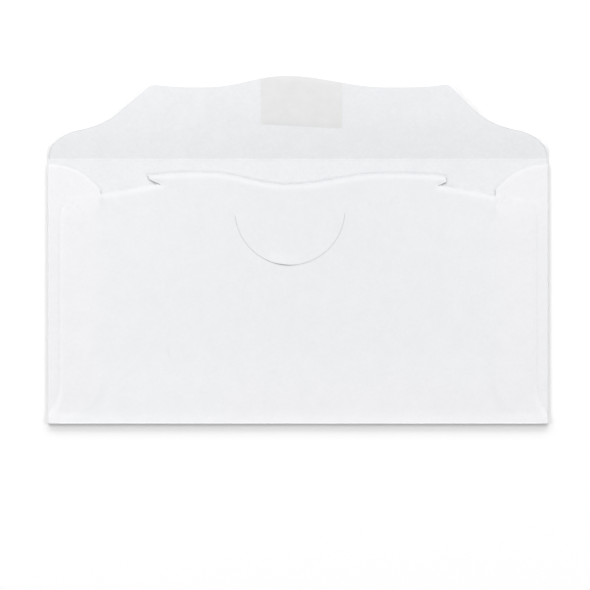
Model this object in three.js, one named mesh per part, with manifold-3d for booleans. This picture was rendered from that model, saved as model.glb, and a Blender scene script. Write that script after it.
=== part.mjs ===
// A small tuck-flap envelope, lying on its address face with the flap open.
// It is one die-cut sheet of paper. The blank is laid out flat, scored where it bends and then folded:
// the side flaps come in over the front panel, and the back panel comes up from the foot over them
// and is bonded down both seams. A thin dried film of gum lies on the inside of the flap.
// Millimetres. The origin is the centre of the address face, +X runs along the envelope, +Y towards
// the flap and +Z out of the back.
import * as THREE from "three";
import { mergeVertices } from "three/addons/utils/BufferGeometryUtils.js";
import Module from "manifold-3d";

const wasm = await Module();
wasm.setup();

// The finished envelope and its paper
const LENGTH = 168.3;
const HEIGHT = 88.9;
const PAPER = 0.12;

// Folds: inside radii, and the angle at which the opened flap still stands up from its crease
const SIDE_FOLD_RADIUS = 0.05;
const SEAM_GAP = 0.08;
const CREASE_RADIUS = 1.5;
const CREASE_ANGLE = THREE.MathUtils.degToRad(2);

// Top flap: heights over the crease, and runs in from the ends of the envelope
const FLAP_END_GAP = 0.13;
const FLAP_LOW_HEIGHT = 24.3;
const FLAP_CORNER_LIFT = 1.1;
const FLAP_CORNER_REACH = 14;
const FLAP_CORNER_ROUND = 1.4;
const FLAP_CORNER_INSET_LEFT = 34.6;
const FLAP_CORNER_INSET_RIGHT = 33.2;
const BUMP_HEIGHT = 3.9;
const BUMP_OFFSET = -4;
const BUMP_REACH_LEFT = 26.5;
const BUMP_REACH_RIGHT = 33.5;
const SHOULDER_RUN = 9;
const SHOULDER_HEIGHT = 9.7;
const NECK_RUN = 24.5;
const NECK_HEIGHT = 16.8;

// Side flaps: width along the envelope, depths below the crease and rises over the foot
const SIDE_FLAP_WIDTH = 17.6;
const SIDE_FLAP_DROP = 1.6;
const SIDE_FLAP_SHOULDER = 8.6;
const SIDE_FLAP_SHOULDER_RUN = 10.6;
const SIDE_FLAP_FOOT_GAP = 0.23;
const SIDE_FLAP_FOOT_CURVE = 13.4;

// Back panel: insets from the ends, rises over the foot and depths below the crease
const BACK_END_INSET = 3.75;
const BACK_FOOT_GAP = 0.18;
const BACK_FOOT_STRAIGHT = 2.8;
const BACK_FOOT_TAPER = 12.8;
const BACK_CORNER_RUN = 8.4;
const BACK_CORNER_DROP = 8.4;
const THROAT_NEST = 19.7;
const THROAT_CORNER_DEPTH = 12.9;
const THROAT_SHELF_DEPTH = 8.5;
const THROAT_SKEW = 0.005;
const BACK_DOME = 0.5;

// Tabs at the ends of the throat's wave, each undercut by a short slit
const TAB_INSET_LEFT = 33.6;
const TAB_INSET_RIGHT = 34.5;
const TAB_END_LEFT = 1.3;
const TAB_END_RIGHT = 1.7;
const TAB_LEAN_LEFT = 0.5;
const TAB_LEAN_RIGHT = -0.3;
const SLIT_RUN_LEFT = 3.6;
const SLIT_RUN_RIGHT = 2.5;
const SLIT_WIDTH = 0.36;
const SLIT_SLOPE = 0.48;

// Half-moon cut that takes the flap's tip
const MOON_RADIUS = 18.5;
const MOON_WIDTH = 0.3;
const MOON_OFFSET = -2.75;
const MOON_DEPTH = 17;
const MOON_END_RIGHT = THREE.MathUtils.degToRad(4);
const MOON_END_LEFT = THREE.MathUtils.degToRad(174);

// Seam bond between each side flap and the back panel
const SEAM_WIDTH = 8;
const SEAM_TOP_DEPTH = 20;
const SEAM_FOOT_RISE = 17;

// Film of gum on the inside of the flap
const GUM_FILM = 0.04;
const GUM_CLEARANCE = 0.01;
const GUM_WIDTH = 27.4;
const GUM_OFFSET = 1.2;
const GUM_FOOT_LEFT = 12;
const GUM_FOOT_RIGHT = 10.6;
const GUM_EDGE_GAP = 0.2;

// How finely curves are drawn, and how closely bent and bowed panels are scored
const CURVE_STEPS = 6;
const MOON_STEPS = 20;
const BEND_STEPS = 4;
const CREASE_STEPS = 2;
const EDGE_STEP = 4;
const DOME_STEP = 22;
const FLAP_STEP = 6;
const MERGE = 1e-4;

// Levels of the envelope's own outline
const END = LENGTH / 2;
const CREASE = HEIGHT / 2;
const FOOT = -HEIGHT / 2;
const SEAM_EDGE = END - SIDE_FLAP_WIDTH;
const FLAP_PEAK = FLAP_LOW_HEIGHT + BUMP_HEIGHT;

// Evenly spaced places from one to another, both included and no further apart than the step.
function spread(from, to, step) {
  const count = Math.max(1, Math.ceil(Math.abs(to - from) / step));
  return Array.from({ length: count + 1 }, (_, i) => from + ((to - from) * i) / count);
}

// Folded sections

// A section is a chain of straight and round stretches, measured along the middle of the paper from
// the centre of the front panel. It turns a distance along the blank, and a height in the flat sheet,
// into a place along the envelope and a height over the table.
function foldedSection(stretches) {
  return (distance, height) => {
    let along = 0;
    let up = PAPER / 2;
    let angle = 0;
    let left = distance;
    for (const { length, turn } of stretches) {
      const step = Math.min(left, length);
      const turned = turn ? (turn * step) / length : 0;
      const radius = turn ? length / turn : 0;
      along += turn ? radius * (Math.sin(angle + turned) - Math.sin(angle)) : step * Math.cos(angle);
      up += turn ? radius * (Math.cos(angle) - Math.cos(angle + turned)) : step * Math.sin(angle);
      angle += turned;
      left -= step;
    }
    const offset = height - PAPER / 2;
    return [along - offset * Math.sin(angle), up + offset * Math.cos(angle)];
  };
}

// A hairpin fold touches the finished edge, and from its end on the paper runs back over itself.
function hairpin(edge, radius) {
  const start = edge - radius - PAPER;
  const bend = Math.PI * (radius + PAPER / 2);
  const place = foldedSection([
    { length: start, turn: 0 },
    { length: bend, turn: Math.PI },
    { length: Infinity, turn: 0 },
  ]);
  return { start, bend, end: start + bend, place, reach: (seen) => 2 * start + bend - seen };
}

// The foot folds over the side flaps, so its inside radius leaves room for one and its bond.
const sideFold = hairpin(END, SIDE_FOLD_RADIUS);
const footFold = hairpin(-FOOT, SIDE_FOLD_RADIUS + (PAPER + SEAM_GAP) / 2);
const CREASE_BEND = CREASE_ANGLE * (CREASE_RADIUS + PAPER / 2);
const FLAP_LINES = spread(CREASE + CREASE_BEND, CREASE + FLAP_PEAK, FLAP_STEP);
const flapSection = foldedSection([
  { length: CREASE, turn: 0 },
  { length: CREASE_BEND, turn: CREASE_ANGLE },
  { length: FLAP_PEAK, turn: -CREASE_ANGLE },
  { length: Infinity, turn: 0 },
]);

// The opened flap bows back down in flat strips, one from each score line to the next.
function placeOnFlap(y, z) {
  const after = FLAP_LINES.findIndex((line) => line >= y);
  if (after < 1) return flapSection(y, z);
  const [low, high] = [FLAP_LINES[after - 1], FLAP_LINES[after]];
  const part = (y - low) / (high - low);
  const [alongLow, upLow] = flapSection(low, z);
  const [alongHigh, upHigh] = flapSection(high, z);
  return [
    THREE.MathUtils.lerp(alongLow, alongHigh, part),
    THREE.MathUtils.lerp(upLow, upHigh, part),
  ];
}

// The pocket's back stands off a little between the seams, most at the throat edge.
function domeLift(x, y) {
  const across = Math.max(0, 1 - (x / SEAM_EDGE) ** 2);
  const upward = THREE.MathUtils.clamp((y - FOOT) / HEIGHT, 0, 1);
  return BACK_DOME * across ** 2 * upward ** 2;
}

// Takes a point of the flat sheet to its place on the folded envelope.
function fold({ x, y, z }) {
  if (Math.abs(x) > sideFold.start) {
    const [along, up] = sideFold.place(Math.abs(x), z);
    return new THREE.Vector3(Math.sign(x) * along, y, up);
  }
  if (y > 0) {
    const [along, up] = placeOnFlap(y, z);
    return new THREE.Vector3(x, along, up);
  }
  const [along, up] = footFold.place(-y, z);
  return new THREE.Vector3(x, -along, -y > footFold.end ? up + domeLift(x, -along) : up);
}

// Outlines. Each is drawn as it is seen on the folded envelope, and unfolded onto the blank.
// A side is -1 at the left and 1 at the right.
const unfoldSide = ({ x, y }) => new THREE.Vector2(Math.sign(x) * sideFold.reach(Math.abs(x)), y);
const unfoldBack = ({ x, y }) => new THREE.Vector2(x, -footFold.reach(-y));

const flapEnd = sideFold.start - FLAP_END_GAP;
const backFootEnd = sideFold.start - BACK_FOOT_GAP;
const sideFlapTop = CREASE - SIDE_FLAP_DROP;
const sideFlapFoot = -(footFold.start - SIDE_FLAP_FOOT_GAP);
const flapCorner = (side) => {
  return side * (END - (side < 0 ? FLAP_CORNER_INSET_LEFT : FLAP_CORNER_INSET_RIGHT));
};

// Height of the flap's wavy edge over the crease
function waveHeight(x) {
  const fromBump = x - BUMP_OFFSET;
  const reach = fromBump < 0 ? BUMP_REACH_LEFT : BUMP_REACH_RIGHT;
  const phase = Math.min(1, Math.abs(fromBump) / reach);
  const bump = (BUMP_HEIGHT * (1 + Math.cos(Math.PI * phase))) / 2;
  const fromCorner = Math.abs(flapCorner(Math.sign(x) || 1) - x);
  const nearCorner = Math.max(0, 1 - fromCorner / FLAP_CORNER_REACH);
  return FLAP_LOW_HEIGHT + bump + FLAP_CORNER_LIFT * nearCorner ** 2;
}

// The throat edge follows the flap's wave, since blanks are cut nested. The panel sits a little askew.
const askew = (x) => THROAT_SKEW * x;
const throatLevel = (x) => CREASE - (waveHeight(x) - THROAT_NEST) - askew(x);

// One side of the flap, from the crease up round its shoulder and neck to its corner.
function flapSide(side) {
  const inward = (run) => side * (flapEnd - run);
  const corner = flapCorner(side);
  const roundEnd = corner - side * FLAP_CORNER_ROUND;
  const top = CREASE + waveHeight(roundEnd);
  const neck = new THREE.Vector2(inward(NECK_RUN), CREASE + NECK_HEIGHT);
  const roundStart = new THREE.Vector2(corner, top);
  roundStart.add(neck.clone().sub(roundStart).setLength(FLAP_CORNER_ROUND));
  const path = new THREE.Path();
  path.moveTo(side * flapEnd, CREASE);
  path.bezierCurveTo(
    side * flapEnd, CREASE + SHOULDER_HEIGHT / 2,
    inward(SHOULDER_RUN / 3), CREASE + SHOULDER_HEIGHT - SHOULDER_RUN / 5,
    inward(SHOULDER_RUN), CREASE + SHOULDER_HEIGHT,
  );
  path.quadraticCurveTo(
    inward((2 * NECK_RUN + SHOULDER_RUN) / 3), CREASE + (3 * SHOULDER_HEIGHT + NECK_HEIGHT) / 4,
    neck.x, neck.y,
  );
  path.lineTo(roundStart.x, roundStart.y);
  path.quadraticCurveTo(corner, top, roundEnd, top);
  return path.getPoints(CURVE_STEPS);
}

function flapOutline() {
  const right = flapSide(1);
  const left = flapSide(-1).reverse();
  const between = spread(right.at(-1).x, left[0].x, EDGE_STEP).slice(1, -1);
  return [...right, ...between.map((x) => new THREE.Vector2(x, CREASE + waveHeight(x))), ...left];
}

// A side flap, from the crease end round its inner edge to the foot end, with both ends of its fold.
function sideFlapOutline(side) {
  const inner = side * SEAM_EDGE;
  const path = new THREE.Path();
  path.moveTo(side * END, sideFlapTop);
  path.quadraticCurveTo(
    side * (END - SIDE_FLAP_SHOULDER_RUN), sideFlapTop,
    inner, sideFlapTop - SIDE_FLAP_SHOULDER,
  );
  path.lineTo(inner, sideFlapFoot + SIDE_FLAP_FOOT_CURVE);
  path.bezierCurveTo(
    inner, sideFlapFoot + SIDE_FLAP_FOOT_CURVE / 2,
    inner + (side * SIDE_FLAP_WIDTH) / 2, sideFlapFoot,
    side * END, sideFlapFoot,
  );
  return [
    new THREE.Vector2(side * sideFold.start, sideFlapTop),
    ...path.getPoints(CURVE_STEPS).map(unfoldSide),
    new THREE.Vector2(side * sideFold.start, sideFlapFoot),
  ];
}

// One end of the back panel, from the foot up round its corner and slit to the end of the throat's wave.
function backEnd(side) {
  const isLeft = side < 0;
  const end = side * (END - BACK_END_INSET);
  const corner = end - side * BACK_CORNER_RUN;
  const cornerLevel = CREASE - THROAT_CORNER_DEPTH - askew(corner);
  const tab = side * (END - (isLeft ? TAB_INSET_LEFT : TAB_INSET_RIGHT));
  const tabTop = throatLevel(tab);
  const lipX = tab - side * (isLeft ? TAB_LEAN_LEFT : TAB_LEAN_RIGHT);
  const lipLevel = tabTop - (isLeft ? TAB_END_LEFT : TAB_END_RIGHT);
  const slitRun = isLeft ? SLIT_RUN_LEFT : SLIT_RUN_RIGHT;
  const slitX = lipX - side * slitRun;
  const slitTop = lipLevel - slitRun * SLIT_SLOPE;
  const slitFoot = slitTop - SLIT_WIDTH;
  const shelf = CREASE - THROAT_SHELF_DEPTH - askew(tab);
  const shelfRun = Math.max(SLIT_WIDTH, shelf - slitFoot) / SLIT_SLOPE;
  const path = new THREE.Path();
  path.moveTo(side * backFootEnd, FOOT + BACK_FOOT_STRAIGHT);
  path.quadraticCurveTo(
    end, FOOT + BACK_FOOT_STRAIGHT + BACK_FOOT_TAPER / 2,
    end, FOOT + BACK_FOOT_STRAIGHT + BACK_FOOT_TAPER,
  );
  path.lineTo(end, cornerLevel - BACK_CORNER_DROP);
  path.quadraticCurveTo(end, cornerLevel, corner, cornerLevel);
  path.lineTo(slitX + side * shelfRun, slitFoot + shelfRun * SLIT_SLOPE);
  path.lineTo(slitX, slitFoot);
  path.lineTo(slitX, slitTop);
  path.lineTo(lipX, lipLevel);
  path.lineTo(tab, tabTop);
  return path.getPoints(CURVE_STEPS);
}

function backOutline() {
  const left = backEnd(-1);
  const right = backEnd(1).reverse();
  const between = spread(left.at(-1).x, right[0].x, EDGE_STEP).slice(1, -1);
  const throat = between.map((x) => new THREE.Vector2(x, throatLevel(x)));
  return [
    new THREE.Vector2(-backFootEnd, -footFold.start),
    ...[...left, ...throat, ...right].map(unfoldBack),
    new THREE.Vector2(backFootEnd, -footFold.start),
  ];
}

// The half-moon cut is a slot along a little less than half a circle, open side up. Unfolding mirrors
// its outline, which then runs clockwise as a hole does.
function moonCut() {
  const arc = (radius, from, to, isClockwise) => {
    return new THREE.EllipseCurve(
      MOON_OFFSET, CREASE - MOON_DEPTH, radius, radius, -from, -to, isClockwise,
    ).getPoints(MOON_STEPS);
  };
  return [
    ...arc(MOON_RADIUS + MOON_WIDTH / 2, MOON_END_LEFT, MOON_END_RIGHT, false),
    ...arc(MOON_RADIUS - MOON_WIDTH / 2, MOON_END_RIGHT, MOON_END_LEFT, true),
  ].map(unfoldBack);
}

// The blank's panels, anticlockwise, meeting along their fold lines. At the crease and at the foot the
// front panel's corners are relieved, so that neighbouring folds can close.
function blankPanels() {
  const front = [
    new THREE.Vector2(flapEnd, CREASE),
    new THREE.Vector2(-flapEnd, CREASE),
    new THREE.Vector2(-sideFold.start, sideFlapTop),
    new THREE.Vector2(-sideFold.start, sideFlapFoot),
    new THREE.Vector2(-backFootEnd, -footFold.start),
    new THREE.Vector2(backFootEnd, -footFold.start),
    new THREE.Vector2(sideFold.start, sideFlapFoot),
    new THREE.Vector2(sideFold.start, sideFlapTop),
  ];
  return [
    { outline: front },
    { outline: flapOutline() },
    { outline: sideFlapOutline(-1) },
    { outline: sideFlapOutline(1).reverse() },
    { outline: backOutline(), holes: [moonCut()] },
  ];
}

// The film of gum on the flap's inside face, with its lower edge a little out of square.
function gumPanels() {
  const left = GUM_OFFSET - GUM_WIDTH / 2;
  const right = GUM_OFFSET + GUM_WIDTH / 2;
  const edge = spread(right, left, EDGE_STEP);
  return [{
    outline: [
      new THREE.Vector2(left, CREASE + GUM_FOOT_LEFT),
      new THREE.Vector2(right, CREASE + GUM_FOOT_RIGHT),
      ...edge.map((x) => new THREE.Vector2(x, CREASE + waveHeight(x) - GUM_EDGE_GAP)),
    ],
  }];
}

// Scoring and folding

// Triangles of a flat plate. A side that two panels share is a fold line, and has no wall.
function plate(panels, level, thickness) {
  const at = ({ x, y }, z) => new THREE.Vector3(x, y, z);
  const under = level;
  const over = level + thickness;
  const triangles = [];
  const walls = new Map();
  for (const { outline, holes = [] } of panels) {
    const corners = [outline, ...holes].flat();
    for (const face of THREE.ShapeUtils.triangulateShape([...outline], holes.map((hole) => [...hole]))) {
      const [a, b, c] = face.map((i) => corners[i]);
      triangles.push(at(a, over), at(b, over), at(c, over), at(c, under), at(b, under), at(a, under));
    }
    for (const ring of [outline, ...holes]) {
      ring.forEach((from, i) => {
        const to = ring[(i + 1) % ring.length];
        const name = (a, b) => [a.x, a.y, b.x, b.y].map((value) => value.toFixed(6)).join();
        if (!walls.delete(name(to, from))) walls.set(name(from, to), [from, to]);
      });
    }
  }
  for (const [from, to] of walls.values()) {
    triangles.push(at(from, under), at(to, under), at(to, over));
    triangles.push(at(from, under), at(to, over), at(from, over));
  }
  return triangles;
}

// Splits the triangles along the line axis = at, so that the sheet can bend there. An edge is cut
// only where the line reaches it, and both triangles beside an edge agree on that.
function score(points, { axis, at, reaches = () => true }) {
  const near = 1e-6;
  const cut = (a, b) => {
    const [low, high] = a[axis] < b[axis] ? [a, b] : [b, a];
    if (low[axis] > at - near || high[axis] < at + near || !reaches(low, high)) return [];
    const point = low.clone().lerp(high, (at - low[axis]) / (high[axis] - low[axis]));
    point[axis] = at;
    return [point];
  };
  const split = [];
  for (let i = 0; i < points.length; i += 3) {
    const [a, b, c] = points.slice(i, i + 3);
    const ring = [a, ...cut(a, b), b, ...cut(b, c), c, ...cut(c, a)];
    const first = Math.max(0, ring.findIndex((corner) => ![a, b, c].includes(corner)));
    const fan = [...ring.slice(first), ...ring.slice(0, first)];
    for (let j = 2; j < fan.length; j += 1) split.push(fan[0], fan[j - 1], fan[j]);
  }
  return split;
}

const sideLines = spread(sideFold.start, sideFold.end, sideFold.bend / BEND_STEPS);
const footLines = spread(footFold.start, footFold.end, footFold.bend / BEND_STEPS);
const creaseLines = spread(CREASE, CREASE + CREASE_BEND, CREASE_BEND / CREASE_STEPS);
const inBack = (a, b) => Math.min(a.y, b.y) < -footFold.end;
const SCORES = [
  ...sideLines.flatMap((at) => [{ axis: "x", at }, { axis: "x", at: -at }]),
  ...footLines.map((at) => ({ axis: "y", at: -at })),
  ...creaseLines.map((at) => ({ axis: "y", at })),
  ...FLAP_LINES.map((at) => ({ axis: "y", at })),
  ...spread(footFold.end, footFold.reach(CREASE), DOME_STEP).map((at) => ({ axis: "y", at: -at })),
  ...spread(-SEAM_EDGE, SEAM_EDGE, DOME_STEP).map((at) => ({ axis: "x", at, reaches: inBack })),
];

function foldedGeometry(panels, level, thickness) {
  const points = SCORES.reduce(score, plate(panels, level, thickness));
  return new THREE.BufferGeometry().setFromPoints(points.map(fold));
}

// Solids, joined with manifold-3d

function toManifold(geometry) {
  const merged = mergeVertices(geometry, MERGE);
  const index = merged.index.array;
  const triangles = [];
  for (let i = 0; i < index.length; i += 3) {
    const [a, b, c] = index.slice(i, i + 3);
    if (a !== b && b !== c && c !== a) triangles.push(a, b, c);
  }
  return new wasm.Manifold(new wasm.Mesh({
    numProp: 3,
    vertProperties: Float32Array.from(merged.getAttribute("position").array),
    triVerts: Uint32Array.from(triangles),
  }));
}

function toGeometry(manifold) {
  const { vertProperties, triVerts } = manifold.getMesh();
  const geometry = new THREE.BufferGeometry();
  geometry.setAttribute("position", new THREE.BufferAttribute(vertProperties, 3));
  geometry.setIndex(new THREE.BufferAttribute(triVerts, 1));
  geometry.computeVertexNormals();
  return geometry;
}

// The bonded strip of one seam bridges the gap between the side flap and the back panel over it.
function seamBond(side) {
  const flapFace = 2 * (SIDE_FOLD_RADIUS + PAPER);
  const bite = PAPER / 3;
  const top = CREASE - SEAM_TOP_DEPTH;
  const foot = FOOT + SEAM_FOOT_RISE;
  const box = new THREE.BoxGeometry(SEAM_WIDTH, top - foot, SEAM_GAP + 2 * bite);
  const middle = END - (SIDE_FLAP_WIDTH + BACK_END_INSET) / 2;
  box.translate(side * middle, (top + foot) / 2, flapFace + SEAM_GAP / 2);
  box.deleteAttribute("normal");
  box.deleteAttribute("uv");
  return toManifold(box);
}

function foldedSheet() {
  const sheet = toManifold(foldedGeometry(blankPanels(), 0, PAPER));
  return toGeometry(sheet.add(seamBond(-1)).add(seamBond(1)));
}

function gumPatch() {
  return toGeometry(toManifold(foldedGeometry(gumPanels(), PAPER + GUM_CLEARANCE, GUM_FILM)));
}

const paper = new THREE.MeshStandardMaterial({ color: 0xeeeff1, roughness: 0.85, metalness: 0 });
const gum = new THREE.MeshStandardMaterial({ color: 0xe8e8e6, roughness: 0.45, metalness: 0 });

function namedMesh(name, geometry, material) {
  const mesh = new THREE.Mesh(geometry, material);
  mesh.name = name;
  return mesh;
}

const envelope = new THREE.Group();
envelope.add(namedMesh("folded_sheet", foldedSheet(), paper));
envelope.add(namedMesh("flap_gum_patch", gumPatch(), gum));

export default envelope;
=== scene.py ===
# A small tuck-flap envelope, lying on its address face with the flap open, seen from straight above.
# The sheet is drawn as its flat blank, meshed finely on both faces and folded like the paper itself.
import math

import bpy
import numpy as np
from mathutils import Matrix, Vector
from mathutils.geometry import delaunay_2d_cdt


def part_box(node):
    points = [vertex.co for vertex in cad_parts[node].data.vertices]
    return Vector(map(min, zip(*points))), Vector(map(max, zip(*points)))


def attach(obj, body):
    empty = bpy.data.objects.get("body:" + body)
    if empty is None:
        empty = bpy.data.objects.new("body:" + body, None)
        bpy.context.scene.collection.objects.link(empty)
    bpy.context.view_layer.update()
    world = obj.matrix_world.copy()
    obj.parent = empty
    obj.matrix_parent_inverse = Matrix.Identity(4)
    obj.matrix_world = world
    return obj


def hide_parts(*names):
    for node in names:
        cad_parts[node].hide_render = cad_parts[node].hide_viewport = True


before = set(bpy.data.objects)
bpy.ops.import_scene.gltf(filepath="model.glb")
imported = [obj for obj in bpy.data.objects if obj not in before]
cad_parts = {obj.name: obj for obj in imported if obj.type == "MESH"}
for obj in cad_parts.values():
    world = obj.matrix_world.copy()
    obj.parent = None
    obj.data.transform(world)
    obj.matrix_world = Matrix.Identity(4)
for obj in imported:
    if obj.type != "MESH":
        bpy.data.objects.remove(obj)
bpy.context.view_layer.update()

# Sizes are in millimetres, and meshes are scaled to metres when they are made. The ends and the foot of
# the envelope and the ends of the gum come from the frame.
MM = 0.001
SHEET_LOW, SHEET_HIGH = (np.array(corner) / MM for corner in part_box("folded_sheet"))
GUM_LOW, GUM_HIGH = (np.array(corner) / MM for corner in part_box("flap_gum_patch"))
END = SHEET_HIGH[0]
FOOT = SHEET_LOW[1]
CREASE = -FOOT
HEIGHT = CREASE - FOOT
PAPER = 0.12

# Folds
SIDE_FOLD_RADIUS = 0.05
SEAM_GAP = 0.08
CREASE_RADIUS = 1.5
CREASE_ANGLE = math.radians(2)
FOLD_STEPS = 6
FOLD_MARGINS = np.array((0.12, 0.4))

# Top flap: heights over the crease, and runs in from the ends of the envelope
FLAP_END_GAP = 0.13
FLAP_LOW_HEIGHT = 24.3
FLAP_CORNER_LIFT = 1.1
FLAP_CORNER_REACH = 14
FLAP_CORNER_ROUND = 1.4
FLAP_CORNER_INSETS = {-1: 34.6, 1: 33.2}
BUMP_HEIGHT = 3.9
BUMP_OFFSET = -4
BUMP_REACHES = {-1: 26.5, 1: 33.5}
SHOULDER_RUN = 9
SHOULDER_HEIGHT = 9.7
NECK_RUN = 24.5
NECK_HEIGHT = 16.8
FLAP_PEAK = FLAP_LOW_HEIGHT + BUMP_HEIGHT

# Side flaps
SIDE_FLAP_WIDTH = 17.6
SIDE_FLAP_DROP = 1.6
SIDE_FLAP_SHOULDER = 8.6
SIDE_FLAP_SHOULDER_RUN = 10.6
SIDE_FLAP_FOOT_GAP = 0.23
SIDE_FLAP_FOOT_CURVE = 13.4
SEAM_EDGE = END - SIDE_FLAP_WIDTH

# Back panel
BACK_END_INSET = 3.75
BACK_FOOT_GAP = 0.18
BACK_FOOT_STRAIGHT = 2.8
BACK_FOOT_TAPER = 12.8
BACK_CORNER_RUN = 8.4
BACK_CORNER_DROP = 8.4
THROAT_NEST = 19.7
THROAT_CORNER_DEPTH = 12.9
THROAT_SHELF_DEPTH = 8.5
THROAT_SKEW = 0.005
BACK_DOME = 0.5

# Tabs and slits at the ends of the throat's wave
TAB_INSETS = {-1: 33.6, 1: 34.5}
TAB_ENDS = {-1: 1.3, 1: 1.7}
TAB_LEANS = {-1: 0.5, 1: -0.3}
SLIT_RUNS = {-1: 3.6, 1: 2.5}
SLIT_WIDTH = 0.24
SLIT_SLOPE = 0.48

# Half-moon cut, whose tongue stands up most near the left of its foot. Its angles are in degrees,
# clockwise from the right.
MOON_RADIUS = 18.5
MOON_OFFSET = -2.75
MOON_DEPTH = 17
MOON_ENDS = (4, 174)
MOON_END_FADE = (3, 5)
MOON_WIDTH = 0.065
MOON_GAPE = 0.11
MOON_GAPE_ANGLE = 95
MOON_GAPE_SPREAD = 7
TONGUE_LIFT = 0.013
TONGUE_LIFT_REACH = 9
TONGUE_GAPE_LIFT = 0.06
TONGUE_GAPE_ANGLE = 99
TONGUE_GAPE_SPREAD = 16
TONGUE_GAPE_REACH = 4

# Film of gum on the flap, thin at its rim
GUM_RELIEF = 0.015
GUM_CLEARANCE = 0.01
GUM_FOOTS = (12, 10.6)
GUM_EDGE_GAP = 0.2
GUM_RIM = 0.08
GUM_RIM_RUNS = (-0.05, 1.5)

# Relief of the back panel as it lies. A pair of numbers is where a form begins and where it is full.
FOOT_RISE = 4
GLUE_DROP = 0.04
END_DROP = 0.03
END_DROP_RUNS = (14, 7)
SETTLE_DROP = 0.15
SETTLE_REACH = 3
SETTLE_RISE = 26
CURL_DROP = 0.048
CURL_REACH = 1.9
CURL_FADE = 1
BACK_WAVE = 0.04
BACK_WAVE_REACH = 8
TAB_PLACES = [(-50.4, 5.4), (49.9, 5.6)]
TAB_PRESS = 0.08
TAB_PRESS_REACH = 2.2

# Edge of the back panel, pressed thin where it lies on the side flaps
FEATHER = 0.105
FEATHER_REACH = 2.4
FEATHER_LEAST = 0.05
FEATHER_END_RUNS = (5.6, 4.2)
FEATHER_CORNER_DEPTHS = (13.2, 15.5)
FEATHER_FLAP_RUNS = (-0.5, 1)
FEATHER_FOOT_HEIGHTS = (2, 6)

# Paper of the front panel above the throat, which stands up a little but not beside the slits
THROAT_LIFT = 0.045
THROAT_LIFT_REACH = 0.9
THROAT_LIFT_FADE = 2.5
THROAT_TAIL_DIP = 1.3
THROAT_TAIL_PLACES = (50, 54)
SLIT_PLACES = [(-48.3, 6.9), (48.8, 7.6)]
SLIT_REST = 0.9
SLIT_REST_REACH = 1.6

# Relief of the side flaps, the folds and the flap
SIDE_FLAP_SETTLE = 0.06
SIDE_FLAP_SETTLE_RUNS = (0.6, 7)
SIDE_FLAP_CURL = 0.02
SIDE_FLAP_CURL_REACH = 0.9
ARC_LIFT = 0.012
ARC_LIFT_REACH = 0.9
FOLD_PRESS = 0.35
FOLD_PRESS_REACH = 3
CREASE_RIDGE = 0.008
CREASE_RIDGE_WIDTH = 0.22
REST_WAVE = 0.02
FLAP_WAVE = 0.04
FLAP_WAVE_RISE = 12

# Small kinks pressed into the back: place, heading in degrees, length and height
KINKS = [
    (24.1, 29.9, 100, 1.6, 0.012),
    (31.5, 30.4, 75, 2.2, 0.016),
    (33.2, 31.6, 120, 1.4, 0.014),
    (-43.6, -20.3, 105, 4.5, 0.012),
    (5.0, -17.1, 20, 1.2, 0.012),
    (-75.6, 29.9, 60, 1.8, 0.014),
    (-74.0, 28.6, 100, 1.6, 0.014),
    (-77.2, 28.2, 40, 1.5, 0.012),
    (69.0, 31.2, 50, 2.0, 0.012),
    (71.3, 30.4, 110, 1.6, 0.012),
    (-65.8, 31.2, 95, 2.2, 0.018),
    (-66.9, 30.9, 115, 2.0, 0.016),
    (66.9, 30.6, 88, 1.8, 0.016),
]
KINK_WIDTH = 0.3
KINK_STEP = 0.4

# How finely the sheet is meshed: spacing of points by their distance from an edge or a bend. The room
# that points leave beside rings and bends is in shares of the spacing, and the front panel has few points
# where the back panel hides it.
CURVE_STEPS = 24
EDGE_STEP = 0.5
EDGE_ROOM = 0.03
FINE_STEP = 0.35
FINE_REACH = 1.4
MIDDLE_STEP = 0.75
MIDDLE_REACH = 3.5
OPEN_STEP = 1.5
RING_ROOM = 0.45
BEND_ROOM = 0.6
NUDGE = 0.12
HIDDEN_STEP = 4
HIDDEN_MARGIN = 3
HIDDEN_FOLD_GAP = 1
STRIP_STEP = 0.8
SHORT_STRIP_GAPS = (0.3, 0.2)
LONG_STRIP_GAPS = (0.4, 0.3)
CREASE_STRIP_REACH = 1.2
CREASE_STRIP_ROWS = 17
THROAT_LINE_MARGIN = 0.5
MOON_MARGIN = 0.001
CELL_ROW = 10000
TOUCH = 1e-6
JOIN_DISTANCE = 1e-5
SLIVER = 1e-9
SHARP_ANGLE = math.radians(40)

rng = np.random.default_rng(11)


# Small helpers

def smooth(value, start, end):
    """Rises from 0 at the start to 1 at the end, level at both."""
    part = np.clip((value - start) / (end - start), 0, 1)
    return part * part * (3 - 2 * part)


def bell(value, width):
    return np.exp(-((value / width) ** 2))


def spread(start, end, step):
    """Evenly spaced numbers from one to another, no further apart than the step."""
    count = max(1, math.ceil(abs(end - start) / step))
    return np.linspace(start, end, count + 1)


def bezier(points, steps=CURVE_STEPS):
    """A quadratic or cubic curve through its control points, without its first point."""
    along = np.linspace(0, 1, steps + 1)[1:, None]
    level = [np.array(point, float) for point in points]
    while len(level) > 1:
        level = [a + (b - a) * along for a, b in zip(level, level[1:])]
    return [tuple(point) for point in level[0]]


def resample(ring, step):
    """The closed ring with further points wherever two are more than the step apart."""
    finer = []
    for start, end in zip(ring, np.roll(ring, -1, axis=0)):
        parts = spread(0, 1, step / max(step, math.dist(start, end)))[:-1]
        finer.extend(start + (end - start) * part for part in parts)
    return np.array(finer)


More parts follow.
